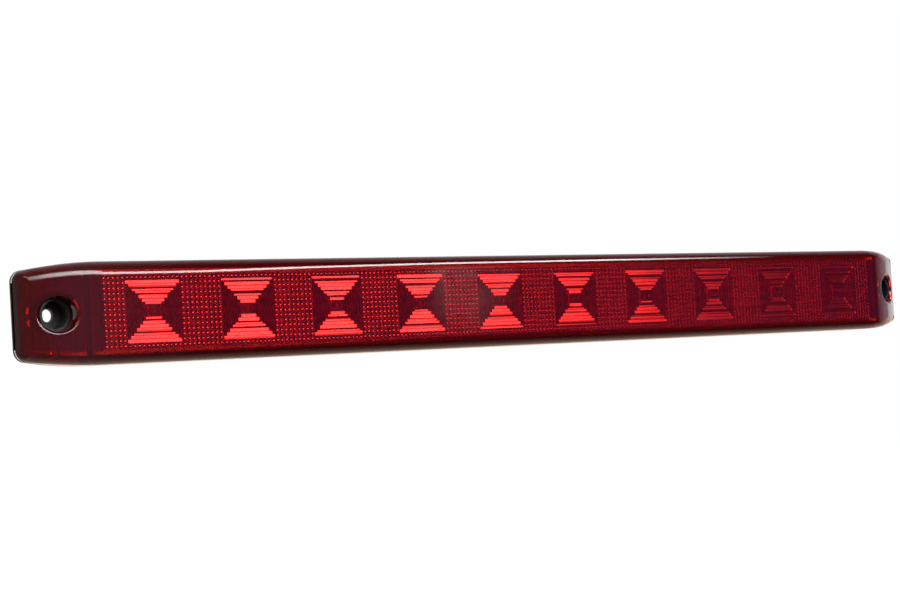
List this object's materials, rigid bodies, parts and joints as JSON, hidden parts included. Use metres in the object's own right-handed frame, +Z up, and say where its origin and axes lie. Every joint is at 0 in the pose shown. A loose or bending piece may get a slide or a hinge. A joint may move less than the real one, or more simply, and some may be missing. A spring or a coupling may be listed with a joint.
{
  "type": "third brake light",
  "caption": "Slim red bar brake light with a row of LEDs behind square prisms and a screw hole through an ear at each end.",
  "frame": {"origin": "on the flat back face, midway between the two screw holes", "axes": "X along the bar, +Y out of the back face into the vehicle (the light shines along -Y), +Z up"},
  "size_m": [0.3786, 0.012, 0.03],
  "materials": {
    "red_lens": "transparent red, high gloss",
    "black_housing": "moulded, fine texture",
    "black_rubber": "matt",
    "board_laminate": "black solder mask, satin",
    "tin_plate": "bright tin",
    "black_zinc": "black zinc plate",
    "led_body": "white package with a clear dome",
    "resistor_body": "black film on ceramic",
    "component_epoxy": "black moulding compound",
    "brass": "tinned brass pin"
  },
  "bodies": {
    "root": {"lens": "red_lens", "housing": "black_housing", "chamber_seal": "black_rubber", "wire_grommet": "black_rubber", "circuit_board": "board_laminate", "led_solder_tabs": "tin_plate", "board_screws": "black_zinc", "led_01": "led_body", "led_02": "led_body", "led_03": "led_body", "led_04": "led_body", "led_05": "led_body", "led_06": "led_body", "led_07": "led_body", "led_08": "led_body", "led_09": "led_body", "led_10": "led_body", "resistor_1": "resistor_body", "resistor_2": "resistor_body", "resistor_3": "resistor_body", "resistor_4": "resistor_body", "polarity_diode": "component_epoxy", "surge_suppressor": "component_epoxy", "supply_terminal": "brass", "ground_terminal": "brass"}
  },
  "joints": []
}
